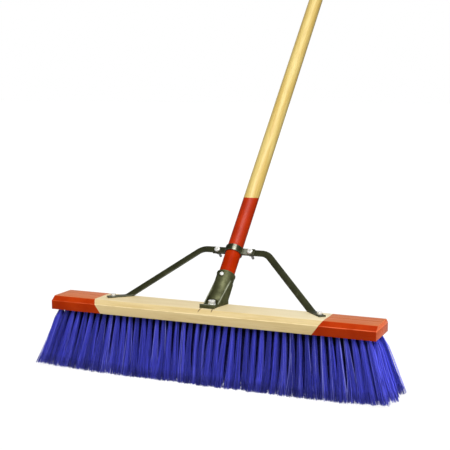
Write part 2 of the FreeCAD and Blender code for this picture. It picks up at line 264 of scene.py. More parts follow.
class Graph:
    """The node tree of a material or a world, with short calls for the nodes used here."""

    def __init__(self, owner, output, coordinates):
        owner.use_nodes = True
        self.owner = owner
        self.tree = owner.node_tree
        self.tree.nodes.clear()
        self.out = self.node(output)
        self.where = self.node("ShaderNodeTexCoord").outputs[coordinates]

    def node(self, kind, **settings):
        made = self.tree.nodes.new(kind)
        for key, value in settings.items():
            setattr(made, key, value)
        return made

    def feed(self, socket, value):
        """Link another node's output, or set a plain value."""
        if isinstance(value, bpy.types.NodeSocket):
            self.tree.links.new(value, socket)
        elif isinstance(value, tuple) and len(value) == 3 and socket.type == "RGBA":
            socket.default_value = (*value, 1.0)
        else:
            socket.default_value = value

    def math(self, operation, a, b=0.0, clamp=False):
        made = self.node("ShaderNodeMath", operation=operation, use_clamp=clamp)
        self.feed(made.inputs[0], a)
        self.feed(made.inputs[1], b)
        return made.outputs[0]

    def add(self, a, b):
        return self.math("ADD", a, b)

    def take(self, a, b):
        """a less b."""
        return self.math("SUBTRACT", a, b)

    def times(self, a, b):
        return self.math("MULTIPLY", a, b)

    def size(self, a):
        return self.math("ABSOLUTE", a)

    def without(self, a):
        """1 where a is 0, and 0 where a is 1."""
        return self.math("SUBTRACT", 1.0, a)

    def vector(self, operation, a, b):
        made = self.node("ShaderNodeVectorMath", operation=operation)
        self.feed(made.inputs[0], a)
        self.feed(made.inputs[1], b)
        return made.outputs["Value" if operation == "DOT_PRODUCT" else "Vector"]

    def reach(self, direction):
        """How far a place lies in a direction."""
        return self.vector("DOT_PRODUCT", self.where, direction)

    def split(self):
        """A place's x, y and z."""
        made = self.node("ShaderNodeSeparateXYZ")
        self.feed(made.inputs[0], self.where)
        return made.outputs

    def noise(self, scale, detail=3.0, roughness=0.5, distortion=0.0, stretch=None):
        """Noise from 0 to 1. A small factor in stretch draws it out along that axis."""
        where = self.vector("MULTIPLY", self.where, stretch) if stretch else self.where
        made = self.node("ShaderNodeTexNoise")
        self.feed(made.inputs["Vector"], where)
        self.feed(made.inputs["Scale"], scale)
        self.feed(made.inputs["Detail"], detail)
        self.feed(made.inputs["Roughness"], roughness)
        self.feed(made.inputs["Distortion"], distortion)
        return made.outputs[0]

    def band(self, value, low, high, bottom=0.0, top=1.0, smooth=True):
        """value carried from low..high to bottom..top, clamped."""
        kind = "SMOOTHSTEP" if smooth else "LINEAR"
        made = self.node("ShaderNodeMapRange", interpolation_type=kind)
        for socket, v in zip(made.inputs, (value, low, high, bottom, top)):
            self.feed(socket, v)
        return made.outputs[0]

    def mix(self, factor, a, b):
        made = self.node("ShaderNodeMix", data_type="RGBA")
        self.feed(made.inputs[0], factor)
        self.feed(made.inputs[6], a)
        self.feed(made.inputs[7], b)
        return made.outputs[2]

    def attribute(self, name):
        return self.node("ShaderNodeAttribute", attribute_name=name).outputs["Fac"]

    def bump(self, height, distance, strength, under=None):
        made = self.node("ShaderNodeBump")
        self.feed(made.inputs["Strength"], strength)
        self.feed(made.inputs["Distance"], distance)
        self.feed(made.inputs["Height"], height)
        if under is not None:
            self.feed(made.inputs["Normal"], under)
        return made.outputs[0]

    def principled(self, **inputs):
        made = self.node("ShaderNodeBsdfPrincipled")
        for key, value in inputs.items():
            self.feed(made.inputs[key.replace("_", " ")], value)
        return made.outputs[0]

    def surface(self, **inputs):
        self.feed(self.out.inputs[0], self.principled(**inputs))
        return self.owner

    def light_and_show(self, light, seen):
        """Light the broom with one shader and show the camera another."""
        both = self.node("ShaderNodeMixShader")
        self.feed(both.inputs[0], self.node("ShaderNodeLightPath").outputs["Is Camera Ray"])
        self.feed(both.inputs[1], light)
        self.feed(both.inputs[2], seen)
        self.feed(self.out.inputs[0], both.outputs[0])
        return self.owner


def material_graph(name):
    return Graph(bpy.data.materials.new(name), "ShaderNodeOutputMaterial", "Object")


def srgb(r, g, b):
    """A colour given as it looks, 0 to 255, in the linear values the shader takes."""
    def line(v):
        v = v / 255.0
        return v / 12.92 if v <= 0.04045 else ((v + 0.055) / 1.055) ** 2.4
    return (line(r), line(g), line(b))


# ---------------------------------------------------------------- materials

def stretched(axis, along, across):
    """Factors that draw a noise out along one axis."""
    return tuple(along if i == axis else across for i in range(3))


def wood_layers(g, axis, light, mid, dark):
    """Straight-grained hardwood's colour and height: growth bands, fine pores and slow colour drift."""
    drift = g.noise(3.0, 2.0, stretch=stretched(axis, 0.225, 3.5))
    bands = g.noise(7.0, 4.0, 0.62, 0.6, stretched(axis, 0.9, 14.0))
    pores = g.noise(4.0, 2.0, 0.6, stretch=stretched(axis, 9.0, 260.0))
    streak = g.band(pores, 0.56, 0.72)
    tone = g.mix(g.band(bands, 0.32, 0.68), mid, light)
    tone = g.mix(g.times(g.band(drift, 0.42, 0.75), 0.45), tone, dark)
    tone = g.mix(g.times(streak, 0.35), tone, dark)
    return tone, g.take(g.times(bands, 0.5), streak)


def dark_stroke(g, x, y, start, end):
    """1 along a short dark stroke on the block's top, 0 away from it."""
    run = Vector((end[0] - start[0], end[1] - start[1])) * MM
    across = run.orthogonal().normalized()
    dx = g.take(x, start[0] * MM)
    dy = g.take(y, start[1] * MM)
    far = g.math("DIVIDE", g.add(g.times(dx, run.x), g.times(dy, run.y)), run.length_squared)
    off = g.add(g.times(dx, across.x), g.times(dy, across.y))
    core, rim = DARK_STROKE_HALF_WIDTHS
    thin = g.without(g.band(g.size(off), core * MM, rim * MM))
    inside = g.times(g.band(far, -0.02, 0.1), g.without(g.band(far, 0.7, 1.0)))
    return g.times(g.times(thin, inside), 0.9)


def block_wood(g, x, y, z, upper, lower, ridge_highlight):
    """Bare wood, with painted sheen on top, its side painted paler to the left and darker to the right, a
    painted highlight where the shoulder meets the side, and two short dark strokes.
    """
    tone, height = wood_layers(g, 0, srgb(216, 194, 142), srgb(204, 178, 120), srgb(172, 140, 84))
    # painted light and painted shade: the block's side is paler to the left and darker to the right
    tone = g.mix(g.times(lower, g.band(x, -0.25, 0.1, 0.4, 0.0)), tone, srgb(240, 218, 166))
    tone = g.mix(g.times(lower, g.band(x, 0.0, 0.25, 0.0, 0.2)), tone, srgb(186, 154, 88))
    # painted highlight along the edge where the shoulder meets the side
    tone = g.mix(ridge_highlight, tone, srgb(242, 222, 172))
    # painted sheen: the top is paler, more so to the right
    tone = g.mix(g.times(upper, g.band(x, 0.0, 0.2, 0.35, 0.75)), tone, srgb(234, 222, 186))
    topside = g.band(z, SIDE_TOP * MM, (SIDE_TOP + 1.0) * MM)
    for start, end in DARK_STROKES:
        tone = g.mix(g.times(dark_stroke(g, x, y, start, end), topside), tone, srgb(92, 66, 30))
    return tone, height


def block_paint(g, x, upper, lower, ridge_highlight):
    """Dipped paint, worn on the end faces, with painted sheen on top, painted shade on its side to the right
    and a painted highlight where the shoulder meets the side.
    """
    coat = g.noise(24.0, 3.0)
    paint = g.mix(g.band(coat, 0.3, 0.7), srgb(162, 44, 6), srgb(178, 55, 10))
    end_face = g.band(g.size(x), (BLOCK_HIGH.x - 0.6) * MM, (BLOCK_HIGH.x - 0.1) * MM)
    end_grain = g.noise(3.0, 3.0, stretch=(40.0, 700.0, 240.0))
    worn = g.times(end_face, g.band(end_grain, 0.35, 0.7, 0.35, 0.8))
    paint = g.mix(worn, paint, srgb(228, 128, 84))
    # painted sheen: the paint's top is paler and more orange
    top_sheen = g.times(upper, g.band(coat, 0.2, 0.8, 1.0, 0.75))
    paint = g.mix(top_sheen, paint, srgb(196, 113, 68))
    # painted shade: the paint's side darkens to the right
    right_side_shade = g.math("MULTIPLY", lower, g.band(x, -0.2, 0.3, -0.12, 0.42, smooth=False), clamp=True)
    paint = g.mix(right_side_shade, paint, srgb(118, 32, 3))
    # painted highlight along the shoulder's lower edge, fainter to the left
    return g.mix(g.times(ridge_highlight, g.band(x, -0.1, 0.1, 0.35, 0.8)), paint, srgb(250, 122, 78))


def block_material():
    """Wood between two dipped ends. The dip's edge lies on a slope, so it runs slanted down the side."""
    g = material_graph("block_wood_and_paint")
    x, y, z = g.split()
    upper = g.band(z, (BLOCK_TOP - 0.9) * MM, (BLOCK_TOP - 0.3) * MM)
    lower = g.without(g.band(z, (SIDE_TOP - 1.2) * MM, (SIDE_TOP - 0.4) * MM))
    # painted highlight: a thin pale band along the edge where the shoulder meets the side, broken up by noise
    ridge_highlight = g.without(g.band(g.size(g.take(z, SIDE_TOP * MM)), 0.0002, 0.0010))
    ridge_highlight = g.times(ridge_highlight, g.band(g.noise(60.0, 3.0), 0.3, 0.6, 0.3, 0.85))
    tone, height = block_wood(g, x, y, z, upper, lower, ridge_highlight)
    paint = block_paint(g, x, upper, lower, ridge_highlight)
    edge = g.take(g.size(g.add(x, PAINT_OFFSET * MM)), PAINT_ON_BLOCK * MM)
    edge = g.add(edge, g.times(g.take(BLOCK_TOP * MM, z), PAINT_SLOPE))
    wobble = g.times(g.take(g.noise(90.0, 2.0), 0.5), 0.0012)
    painted = g.band(g.add(edge, wobble), -0.0002, 0.0003)
    grain = g.times(height, g.without(g.times(painted, 0.75)))
    relief = g.bump(g.add(grain, g.times(painted, 0.6)), 0.00025, 0.35)
    brushed = g.noise(3.0, 3.0, stretch=stretched(0, 3.0, 260.0))
    relief = g.bump(brushed, 0.0002, 0.15, relief)
    rough = g.add(g.times(painted, -0.1), g.band(height, -0.4, 0.5, 0.46, 0.36))
    shine = g.band(painted, 0.0, 1.0, 0.5, 0.04, smooth=False)
    return g.surface(Base_Color=g.mix(painted, tone, paint), Roughness=rough, Normal=relief,
                     Specular_IOR_Level=shine)


def pole_material():
    """The pole's own axis is Z: varnished wood, and red paint from the foot up to a straight line."""
    g = material_graph("pole_wood_and_paint")
    _, y, z = g.split()
    tone, height = wood_layers(g, 2, srgb(228, 205, 128), srgb(212, 180, 96), srgb(174, 130, 54))
    paint = g.mix(g.band(g.noise(22.0, 3.0), 0.3, 0.7), srgb(160, 36, 2), srgb(182, 48, 5))
    wobble = g.times(g.take(g.noise(120.0, 2.0), 0.5), 0.0016)
    level = g.take(g.add(z, wobble), g.times(y, PAINT_TILT))
    line = PAINT_ON_POLE * MM
    painted = g.without(g.band(level, line - 0.0003, line + 0.0002))
    grain = g.times(height, g.without(g.times(painted, 0.8)))
    relief = g.bump(g.add(grain, g.times(painted, 0.8)), 0.00008, 0.2)
    varnish_wave = g.noise(2.0, 2.0, stretch=stretched(2, 5.0, 60.0))
    relief = g.bump(varnish_wave, 0.0004, 0.08, relief)
    rough = g.add(g.times(painted, -0.02), g.band(height, -0.4, 0.5, 0.46, 0.38))
    paint_shine = g.band(z, 0.085, 0.110, 0.03, 0.22)
    shine = g.band(painted, 0.0, 1.0, 0.55, paint_shine, smooth=False)
    return g.surface(Base_Color=g.mix(painted, tone, paint), Roughness=rough, Normal=relief,
                     Specular_IOR_Level=shine)


def steel_material(name, low, high, wear_and_highlight_colour, dull, sleek):
    """Dark olive oxide-finished steel with rubbed spots, faint rolling lines, and pale edges, partly worn and
    partly painted highlight.
    """
    g = material_graph(name)
    blotch = g.noise(55.0, 4.0, 0.6)
    grain = g.noise(900.0, 2.0, 0.6)
    rubbed = g.times(g.band(blotch, 0.56, 0.74), g.band(grain, 0.42, 0.7))
    colour = g.mix(g.band(blotch, 0.3, 0.7), low, high)
    colour = g.mix(g.times(rubbed, 0.5), colour, (0.20, 0.20, 0.14))
    # pale edges and the hoop's brow: partly worn finish, partly painted highlight
    wear_and_highlight = g.times(g.attribute("wear_and_highlight"), g.band(blotch, 0.25, 0.6, 0.45, 1.0))
    colour = g.mix(wear_and_highlight, colour, wear_and_highlight_colour)
    relief = g.bump(grain, 0.00012, 0.35)
    relief = g.bump(blotch, 0.0004, 0.25, relief)
    rough = g.band(blotch, 0.3, 0.75, dull, sleek)
    return g.surface(Base_Color=colour, Metallic=0.5, Roughness=rough, Normal=relief, Specular_IOR_Level=0.35)


def zinc_material():
    """Bright zinc plate: pale, slightly mottled, with fine scratches, and painted shade behind the pole's
    axis.
    """
    g = material_graph("zinc_steel")
    spangle = g.noise(420.0, 3.0, 0.6)
    colour = g.mix(g.band(spangle, 0.3, 0.7), (0.88, 0.88, 0.84), (1.0, 1.0, 0.96))
    from_axis = g.vector("DOT_PRODUCT", g.vector("SUBTRACT", g.where, tuple(FOOT * MM)), tuple(FRONT))
    # painted shade: the parts that lie behind the pole's axis are dark
    behind = g.without(g.band(from_axis, -0.0040, -0.0026))
    colour = g.mix(g.times(behind, 0.9), colour, (0.10, 0.10, 0.09))
    scratch = g.noise(1.0, 2.0, stretch=stretched(0, 2200.0, 300.0))
    relief = g.bump(scratch, 0.00006, 0.3)
    rough = g.band(spangle, 0.3, 0.7, 0.34, 0.22)
    return g.surface(Base_Color=colour, Metallic=0.35, Roughness=rough, Normal=relief)


def bristle_material():
    """Royal-blue plastic filament: each one its own tone, dark with painted shade where the tufts crowd
    together, and a few with a painted highlight.
    """
    g = material_graph("bristle")
    tone = g.attribute("tone")
    shade = g.attribute("shade")
    colour = g.mix(tone, srgb(28, 35, 134), srgb(76, 80, 226))
    # painted highlight: the palest filaments turn lavender
    colour = g.mix(g.band(tone, 0.93, HIGHLIGHT_TONE, 0.0, 0.7), colour, srgb(166, 168, 240))
    # painted shade, from each point's shade amount
    colour = g.mix(shade, colour, srgb(4, 5, 22))
    mottled = g.noise(1.0, 2.0, stretch=stretched(2, 60.0, 900.0))
    colour = g.mix(g.band(mottled, 0.35, 0.7, 0.0, 0.2), colour, srgb(84, 84, 238))
    relief = g.bump(mottled, 0.00005, 0.3)
    gloss = g.band(shade, 0.2, 0.9, 0.42, 0.04)
    return g.surface(Base_Color=colour, Roughness=0.38, Normal=relief, Specular_IOR_Level=gloss,
                     Sheen_Weight=0.05)


# ---------------------------------------------------------------- mesh kit

def add_object(name, data):
    made = bpy.data.objects.new(name, data)
    bpy.context.scene.collection.objects.link(made)
    return made


def finish_mesh(mesh, material, sharp=None):
    """One material and smooth shading, broken at edges that turn more than sharp degrees."""
    mesh.materials.clear()
    mesh.materials.append(material)
    mesh.shade_smooth()
    if sharp:
        mesh.set_sharp_from_angle(angle=math.radians(sharp))


def new_piece(name, mesh, slot, *nodes, place=Matrix()):
    """A visible piece that takes the place of one or more of the frame's nodes."""
    piece = add_object(name, mesh)
    piece.matrix_world = place
    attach(piece, "root")
    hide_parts(*nodes)
    return piece


def settle(piece):
    """Bake a piece's modifiers into its mesh."""
    bpy.context.view_layer.update()
    graph = bpy.context.evaluated_depsgraph_get()
    mesh = bpy.data.meshes.new_from_object(piece.evaluated_get(graph))
    piece.modifiers.clear()
    piece.data = mesh


def mark(mesh, name, amounts):
    """An amount from 0 to 1 at each point of a mesh, for its material."""
    values = np.asarray(amounts, dtype=np.float32)
    mesh.attributes.new(name, "FLOAT", "POINT").data.foreach_set("value", values)


def mesh_from(name, verts, faces):
    mesh = bpy.data.meshes.new(name)
    mesh.from_pydata([tuple(v) for v in verts], [], faces)
    mesh.update()
    return mesh


def closed_mesh(name, verts, faces):
    """A closed mesh, with every face turned outwards."""
    mesh = mesh_from(name, verts, faces)
    shape = bmesh.new()
    shape.from_mesh(mesh)
    bmesh.ops.recalc_face_normals(shape, faces=shape.faces)
    shape.to_mesh(mesh)
    shape.free()
    return mesh


def loft(name, sections, profile_of):
    """A closed skin over sections, each (centre, half width, half thickness), in millimetres."""
    verts, faces = [], []
    for centre, wide, thick in sections:
        for a, b in profile_of(wide.length, thick.length):
            verts.append((centre + wide.normalized() * a + thick.normalized() * b) * MM)
    n = len(verts) // len(sections)
    for s in range(len(sections) - 1):
        for i in range(n):
            j = (i + 1) % n
            faces.append((s * n + i, s * n + j, (s + 1) * n + j, (s + 1) * n + i))
    faces.append(tuple(reversed(range(n))))
    faces.append(tuple((len(sections) - 1) * n + i for i in range(n)))
    return closed_mesh(name, verts, faces)


def rolled_edge(half_wide, half_thick):
    """A flat bar's outline with rolled corners."""
    points = []
    for sx, sy, turn in ((1, 1, 0), (-1, 1, 90), (-1, -1, 180), (1, -1, 270)):
        for i in range(BAR_EDGE_STEPS + 1):
            angle = math.radians(turn + 90 * i / BAR_EDGE_STEPS)
            points.append((sx * (half_wide - BAR_EDGE_R) + BAR_EDGE_R * math.cos(angle),
                           sy * (half_thick - BAR_EDGE_R) + BAR_EDGE_R * math.sin(angle)))
    return points


# ---------------------------------------------------------------- the block

def tuft_places():
    """Each row's tufts as (root on the block's underside, direction downwards, tip height)."""
    rows = []
    for row in range(-2, 3):
        places = []
        shift = TUFT_PITCH / 2 if row % 2 else MIDDLE_SHIFT * (row == 0)
        count = TUFTS_PER_SIDE + (1 if row % 2 else 0)
        for i in range(-count, TUFTS_PER_SIDE + 1):
            x = TUFT_PITCH * i + shift
            part = max(0.0, (abs(x) - FLARE_START) / (LAST_TUFT - FLARE_START))
            flare = math.radians(END_FLARE) * part**FLARE_POWER * (1 if x > 0 else -1)
            lean = math.radians(ROW_LEAN * row)
            down = Vector((math.tan(flare), math.tan(lean), -1.0)).normalized()
            places.append((Vector((x, ROW_SPACING * row, TRIM)), down, TRIM * (1 - math.cos(flare))))
        rows.append(places)
    return rows


def drilled_holes():
    """One mesh of every tuft hole, as short cylinders along the tufts."""
    verts, faces = [], []
    for row in tuft_places():
        for root, down, _ in row:
            side_a = down.orthogonal().normalized()
            side_b = down.cross(side_a)
            base = len(verts)
            rim = base + DRILL_SIDES
            for depth in (-HOLE_DEPTH, DRILL_OVERRUN):
                for i in range(DRILL_SIDES):
                    angle = 2 * math.pi * i / DRILL_SIDES
                    out = side_a * math.cos(angle) + side_b * math.sin(angle)
                    verts.append((root + down * depth + out * HOLE_R) * MM)
            for i in range(DRILL_SIDES):
                j = (i + 1) % DRILL_SIDES
                faces.append((base + i, base + j, rim + j, rim + i))
            faces.append(tuple(base + i for i in reversed(range(DRILL_SIDES))))
            faces.append(tuple(rim + i for i in range(DRILL_SIDES)))
    return closed_mesh("drill", verts, faces)


def block_blank():
    """The block before drilling: one outline carried along X, with its edges broken."""
    half, top = BLOCK_HIGH.y, BLOCK_TOP_WIDTH / 2
    right = [(half, TRIM), (half, SIDE_TOP), (top, BLOCK_TOP)]
    outline = [(-half, TRIM)] + right + [(-top, BLOCK_TOP), (-half, SIDE_TOP)]
    shape = bmesh.new()
    rings = []
    for s in range(BLOCK_STATIONS):
        x = BLOCK_LOW.x + (BLOCK_HIGH.x - BLOCK_LOW.x) * s / (BLOCK_STATIONS - 1)
        rings.append([shape.verts.new((x * MM, y * MM, z * MM)) for y, z in outline])
    for a, b in zip(rings, rings[1:]):
        for i in range(len(outline)):
            j = (i + 1) % len(outline)
            shape.faces.new((a[i], b[i], b[j], a[j]))
    shape.faces.new(rings[0])
    shape.faces.new(list(reversed(rings[-1])))
    bmesh.ops.recalc_face_normals(shape, faces=shape.faces)
    edges = [e for e in shape.edges if e.calc_face_angle(0.0) > math.radians(20)]
    bmesh.ops.bevel(shape, geom=edges, offset=BLOCK_EDGE * MM, segments=3, profile=0.5, affect="EDGES",
                    clamp_overlap=True)
    mesh = bpy.data.meshes.new("wood_block")
    shape.to_mesh(mesh)
    shape.free()
    return mesh


def make_block(material):
    piece = new_piece("wood_block", block_blank(), "block_wood", "block")
    cutter = add_object("drill", drilled_holes())
    drill = piece.modifiers.new("drill", "BOOLEAN")
    drill.operation = "DIFFERENCE"
    drill.object = cutter
    drill.solver = "EXACT"
    settle(piece)
    bpy.data.objects.remove(cutter)
    finish_mesh(piece.data, material, sharp=32)


# ---------------------------------------------------------------- the pole

def make_pole(material):
    """A turned pole with a chamfered foot and a domed top, very slightly uneven as turned wood is."""
    shoulder = HANDLE_CHAMFER + FOOT_EASE_UP
    stem = HANDLE_LENGTH - HANDLE_DOME
    profile = [(HANDLE_R - HANDLE_CHAMFER, 0.0)]
    profile += [(HANDLE_R - FOOT_EASE_IN, HANDLE_CHAMFER - FOOT_EASE_IN), (HANDLE_R, shoulder)]
    for i in range(1, POLE_RINGS + 1):
        profile.append((HANDLE_R, shoulder + (stem - shoulder) * i / POLE_RINGS))
    dome_r = (HANDLE_R**2 + HANDLE_DOME**2) / (2 * HANDLE_DOME)
    for i in range(1, DOME_RINGS):
        z = stem + HANDLE_DOME * math.sin(math.pi / 2 * i / DOME_RINGS)
        profile.append((math.sqrt(max(0.0, dome_r**2 - (z - (HANDLE_LENGTH - dome_r)) ** 2)), z))
    verts = [Vector((0.0, 0.0, 0.0))]
    for r, z in profile:
        for i in range(POLE_SIDES):
            angle = 2 * math.pi * i / POLE_SIDES
            stray = UNEVEN * math.sin(z * UNEVEN_TURN + 2 * angle) * min(1.0, z / UNEVEN_FROM)
            verts.append(Vector(((r + stray) * math.cos(angle), (r + stray) * math.sin(angle), z)) * MM)
    verts.append(Vector((0.0, 0.0, HANDLE_LENGTH)) * MM)
    faces = []
    last = len(profile) - 1
    for i in range(POLE_SIDES):
        j = (i + 1) % POLE_SIDES
        faces.append((0, 1 + j, 1 + i))
        faces.append((len(verts) - 1, 1 + last * POLE_SIDES + i, 1 + last * POLE_SIDES + j))
        for s in range(last):
            a, b = 1 + s * POLE_SIDES, 1 + (s + 1) * POLE_SIDES
            faces.append((a + i, a + j, b + j, b + i))
    mesh = mesh_from("pole", verts, faces)
    finish_mesh(mesh, material, sharp=50)
    turned = Matrix((ACROSS, ALONG.cross(ACROSS), ALONG)).transposed().to_4x4()
    place = Matrix.Translation(on_handle(0, HANDLE_START, 0) * MM) @ turned
    new_piece("pole", mesh, "pole_wood", "handle", place=place)


# ---------------------------------------------------------------- the brace

def eased_ends(sections):
    """Round the bar's two cut ends over, with two more sections at each end."""
    def cap(first, second):
        centre, wide, thick = first
        inward = (second[0] - centre).normalized()
        made = []
        for step, shrink in BAR_END_STEPS:
            lose = (1 - shrink) * BAR_END_ROUND
            w = wide.normalized() * (wide.length - lose)
            t = thick.normalized() * (thick.length - lose * BAR_END_THINNING)
            made.append((centre + inward * step, w, t))
        return made
    start = cap(sections[0], sections[1])
    end = cap(sections[-1], sections[-2])
    return start + sections[1:-1] + list(reversed(end))


def tab_sections(side, bend, bend_x):
    """The screw tab, flat on the block and turned towards the front, and the bend up into the leg."""
    sections = []
    diagonal = Vector((side, 1.0, 0.0)).normalized()
    for run in (TAB_RUN, TAB_RUN - 4.0, TAB_RUN / 2, TAB_RUN / 4):
        spot = Vector((side * (bend_x + run), bend.y - run, BLOCK_TOP + HALF_THICK))
        sections.append((spot, diagonal * HALF_WIDE, -UP * HALF_THICK))
    for i in range(TAB_STEPS + 1):
        angle = TAB_TURN * i / TAB_STEPS
        out = Vector((0.0, math.sin(angle), -math.cos(angle)))
        spot = bend + out * TAB_BEND_MIDDLE + ACROSS * side * (bend_x - TAB_BEND_MIDDLE * angle)
        sections.append((spot, ACROSS * (side * HALF_WIDE * math.sqrt(2)), out * HALF_THICK))
    return sections


def leg_sections(side, middle, foot_v, pivot_u):
    """The slanted leg and the rounded corner at its top."""
    pivot = on_handle(side * pivot_u, CLAMP_HEIGHT - CORNER_R, middle)
    square = (ACROSS * side + ALONG).normalized()
    start = on_handle(side * FOOT_X, foot_v, middle)
    finish = pivot + square * CORNER_R
    sections = []
    for part in (0.12, 0.4, 0.7):
        sections.append((start.lerp(finish, part), square * HALF_WIDE, -FRONT * HALF_THICK))
    for i in range(CORNER_STEPS + 1):
        angle = LEG_ANGLE + (math.pi / 2 - LEG_ANGLE) * i / CORNER_STEPS
        out = ACROSS * side * math.cos(angle) + ALONG * math.sin(angle)
        sections.append((pivot + out * CORNER_R, out * HALF_WIDE, -FRONT * HALF_THICK))
    return sections


def clamp_path(start_u):
    """The clamp in the plane square to the pole, as (across, out from the pole, way the bar faces).

    It runs from the corner through a fillet, round half the pole, and through a fillet to the ear's end.
    """
    fillet_w = CLAMP_LEVEL + HOOP_FILLET
    meet = math.degrees(math.atan2(fillet_w, HOOP_FILLET_U))
    near = [(HOOP_FILLET_U + 4, CLAMP_LEVEL, 90.0)]
    for i in range(FILLET_STEPS + 1):
        angle = -90 - (90 - meet) * i / FILLET_STEPS
        a = math.radians(angle)
        u, w = HOOP_FILLET_U + HOOP_FILLET * math.cos(a), fillet_w + HOOP_FILLET * math.sin(a)
        near.append((u, w, angle + 180))
    hoop = []
    for i in range(1, HOOP_STEPS):
        angle = meet + (180 - 2 * meet) * i / HOOP_STEPS
        a = math.radians(angle)
        hoop.append((HOOP_R * math.cos(a), HOOP_R * math.sin(a), angle))
    far = [(-u, w, 180 - facing) for u, w, facing in reversed(near)]
    ear = [(u, CLAMP_LEVEL, 90.0) for u in (-HOOP_FILLET_U - 8, -EAR_END + 3, -EAR_END)]
    return [(start_u, CLAMP_LEVEL, 90.0)] + near + hoop + far + ear


def on_hoop_highlight(u, facing):
    """True on the half hoop's brow and on the ear next to it, where a highlight is painted."""
    brow = HOOP_BROW[0] < facing < HOOP_BROW[1] and abs(u) < HANDLE_R
    beside = -HOOP_FILLET_U - 9 < u < -HOOP_FILLET_U - 1
    return brow or beside


def make_arm(name, side, back_face, wraps_front, material, node):
    """One brace arm, bent from flat bar: tab, bend, leg, rounded corner, clamp run, half hoop and ear."""
    middle = back_face + HALF_THICK
    rise = STRIP + TAB_BEND_R
    bend_y = FOOT.y - (back_face + rise - rise * math.sin(LEAN)) / math.cos(LEAN)
    bend = Vector((0.0, bend_y, BLOCK_TOP + rise))
    foot_v = (bend - FOOT).dot(ALONG)
    bend_x = FOOT_X + TAB_BEND_MIDDLE * TAB_TURN
    pivot_u = FOOT_X + foot_v - CLAMP_HEIGHT - CORNER_R * math.tan(LEG_ANGLE / 2)
    sections = tab_sections(side, bend, bend_x) + leg_sections(side, middle, foot_v, pivot_u)
    # painted highlight: pale spots on the hoop's brow and on the ear beside it
    painted_glints = [0.0] * len(sections)
    way = 1.0 if wraps_front else -1.0
    for u, w, facing in clamp_path(pivot_u * 0.6):
        painted_glints.append(HOOP_HIGHLIGHT if wraps_front and on_hoop_highlight(u, facing) else 0.0)
        a = math.radians(facing)
        out = ACROSS * side * math.cos(a) + FRONT * way * math.sin(a)
        spot = on_handle(side * u, CLAMP_HEIGHT, way * w)
        sections.append((spot, ALONG * HALF_WIDE, -out * HALF_THICK * way))
    mesh = loft(name, eased_ends(sections), rolled_edge)
    # the rolled edges are pale, partly worn and partly painted highlight
    edge_wear_and_highlight = np.resize((0.0, 0.6, 1.0, 0.6, 0.0), 4 * (BAR_EDGE_STEPS + 1)) * EDGE_WEAR_AND_HIGHLIGHT
    more = [0.0] * (len(BAR_END_STEPS) - 1)
    mark(mesh, "wear_and_highlight", np.concatenate([np.maximum(edge_wear_and_highlight, painted_glint) for painted_glint in more + painted_glints + more]))
    finish_mesh(mesh, material, sharp=30)
    new_piece(name, mesh, "dark_steel", node)


# ---------------------------------------------------------------- the socket

def away_from(points, start, end):
    """Each point's distance from a straight edge."""
    start, end = np.array(start), np.array(end)
    run = end - start
    part = np.clip((points - start) @ run / (run @ run), 0.0, 1.0)
    return np.linalg.norm(points - (start + part[:, None] * run), axis=1)


def keep_largest_shell(mesh):
    """Drop the specks that a voxel remesh leaves inside thick metal."""
    shape = bmesh.new()
    shape.from_mesh(mesh)
    unseen = set(shape.verts)
    shells = []
    while unseen:
        shell = [unseen.pop()]
        for vert in shell:
            for edge in vert.link_edges:
                other = edge.other_vert(vert)
                if other in unseen:
                    unseen.remove(other)
                    shell.append(other)
        shells.append(shell)
    largest = max(shells, key=len)
    specks = [vert for shell in shells if shell is not largest for vert in shell]
    bmesh.ops.delete(shape, geom=specks, context="VERTS")
    shape.to_mesh(mesh)
    shape.free()


def make_bracket(material):
    """The pressed socket with its edges and inner corners softened, as drawn sheet has."""
    mesh = NODES["handle_bracket"].data.copy()
    mesh.name = "pressed_socket"
    piece = new_piece("pressed_socket", mesh, "dark_steel", "handle_bracket")
    weld = piece.modifiers.new("weld", "WELD")
    weld.merge_threshold = WELD
    remesh = piece.modifiers.new("remesh", "REMESH")
    remesh.mode = "VOXEL"
    remesh.voxel_size = VOXEL
    remesh.use_smooth_shade = True
    relax = piece.modifiers.new("relax", "SMOOTH")
    relax.factor = 0.5
    relax.iterations = 5
    settle(piece)
    keep_largest_shell(piece.data)
    finish_mesh(piece.data, material)
    flat = np.empty(3 * len(piece.data.vertices))
    piece.data.vertices.foreach_get("co", flat)
    points = flat.reshape(-1, 3) / MM
    # the ridges are pale, partly rubbed finish and partly painted highlight
    lip = BLOCK_TOP + LIP_HEIGHT
    ridges = [(Vector((-LIP_RIDGE_HALF, LIP_RIDGE_Y, lip)), Vector((LIP_RIDGE_HALF, LIP_RIDGE_Y, lip)))]
    for side in (-1, 1):
        foot = Vector((side * CHEEK_FOOT_HALF, CHEEK_FRONT_Y, BLOCK_TOP + CHEEK_FRONT_RISE))
        ridges.append((foot, on_handle(side * CHEEK_TOP_HALF, CHEEK_TOP, CHEEK_TOP_FRONT)))
    near = np.min([away_from(points, start, end) for start, end in ridges], axis=0)
    mark(piece.data, "wear_and_highlight", np.exp(-(near / RIDGE_WEAR_AND_HIGHLIGHT) ** 2))


# ---------------------------------------------------------------- the bristles

